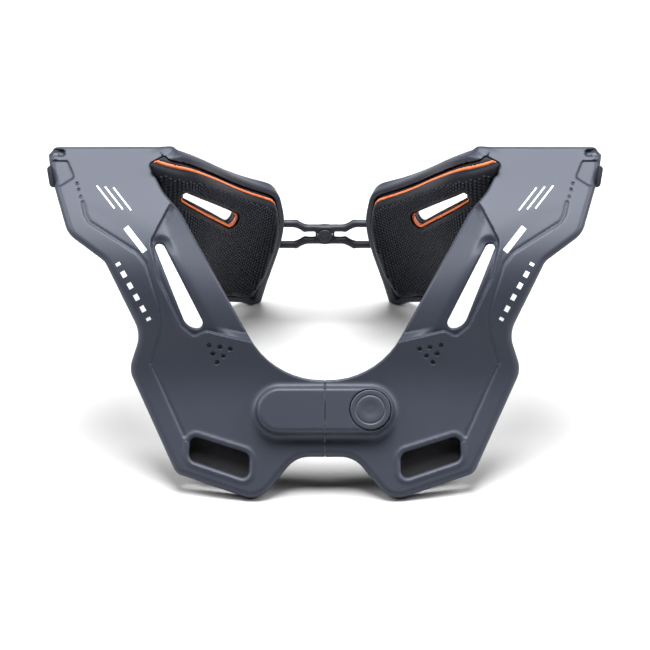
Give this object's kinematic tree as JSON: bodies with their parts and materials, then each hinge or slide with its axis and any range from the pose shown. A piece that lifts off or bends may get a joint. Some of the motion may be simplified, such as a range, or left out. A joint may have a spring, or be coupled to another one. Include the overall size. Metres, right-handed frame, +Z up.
{
  "type": "motocross neck brace",
  "caption": "Rigid ring-shaped neck brace of mirrored plastic halves with strap slots, padded rear flaps, a flexible rear link and a push-button latch at the chest.",
  "frame": {"origin": "centre of the footprint, on the surface that the brace stands on", "axes": "+Z up, -Y forward to the chest, +X to the right as seen from the front, along the shoulders"},
  "size_m": [0.288, 0.229, 0.143],
  "materials": {
    "shell": "fine satin moulded texture",
    "button": "fine satin moulded texture",
    "trim": "satin",
    "pin": "smooth",
    "link": "satin flexible plastic",
    "pad_cloth": "brushed knit over foam",
    "pad_foam": "moulded foam",
    "pad_accent": "matt",
    "pad_grip": "moulded rows of small raised cells"
  },
  "bodies": {
    "brace": {"half_frame_right": "shell", "half_frame_left": "shell", "chest_pad_right": "pad_cloth", "chest_pad_left": "pad_cloth", "rear_pad_base_right": "pad_foam", "rear_pad_base_left": "pad_foam", "rear_pad_accent_right": "pad_accent", "rear_pad_accent_left": "pad_accent", "rear_pad_grip_right": "pad_grip", "rear_pad_grip_left": "pad_grip", "corner_clip_right": "trim", "corner_clip_left": "trim", "corner_pin_right": "pin", "corner_pin_left": "pin", "latch_tongue": "trim", "rear_link": "link", "rear_link_pin": "trim"},
    "button": {"release_button": "button"}
  },
  "joints": [
    {"name": "button_press", "type": "slide", "parent": "brace", "child": "button", "axis": [0, 0.788, -0.6157], "range_m": [0, 0.002], "stiffness_N_per_m": 1500}
  ]
}
